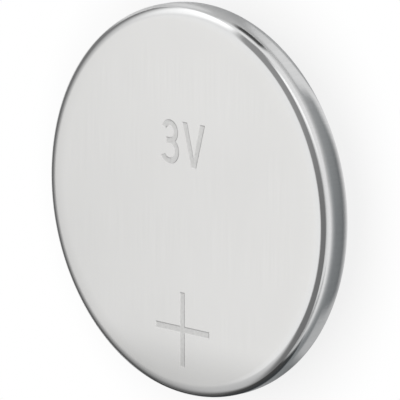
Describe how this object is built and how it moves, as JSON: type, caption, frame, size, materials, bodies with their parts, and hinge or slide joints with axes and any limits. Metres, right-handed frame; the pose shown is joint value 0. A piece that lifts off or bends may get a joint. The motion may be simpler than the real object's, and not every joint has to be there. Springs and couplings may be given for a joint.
{
  "type": "lithium coin cell",
  "caption": "Flat round lithium cell: a crimped steel can as the positive side, a plastic sealing ring, a steel cap as the negative side, and its electrodes inside.",
  "frame": {"origin": "middle of the negative contact face, on the cell's axis", "axes": "+Z along the cell's axis, from the negative contact face to the positive one; +Y towards the top of the marking on the positive face"},
  "size_m": [0.02, 0.02, 0.0025],
  "materials": {
    "can_steel": "satin face, bright rim",
    "gasket_polymer": "moulded, slightly glossy",
    "cap_steel": "fine grained, satin",
    "lithium_metal": "rolled, dull",
    "separator_felt": "non-woven fibre, matt",
    "cathode_mix": "pressed powder, matt",
    "collector_steel": "rolled sheet, dull"
  },
  "bodies": {
    "root": {"positive_can": "can_steel", "sealing_gasket": "gasket_polymer", "negative_cap": "cap_steel", "lithium_anode": "lithium_metal", "separator": "separator_felt", "cathode_pellet": "cathode_mix", "cathode_collector": "collector_steel"}
  },
  "joints": []
}
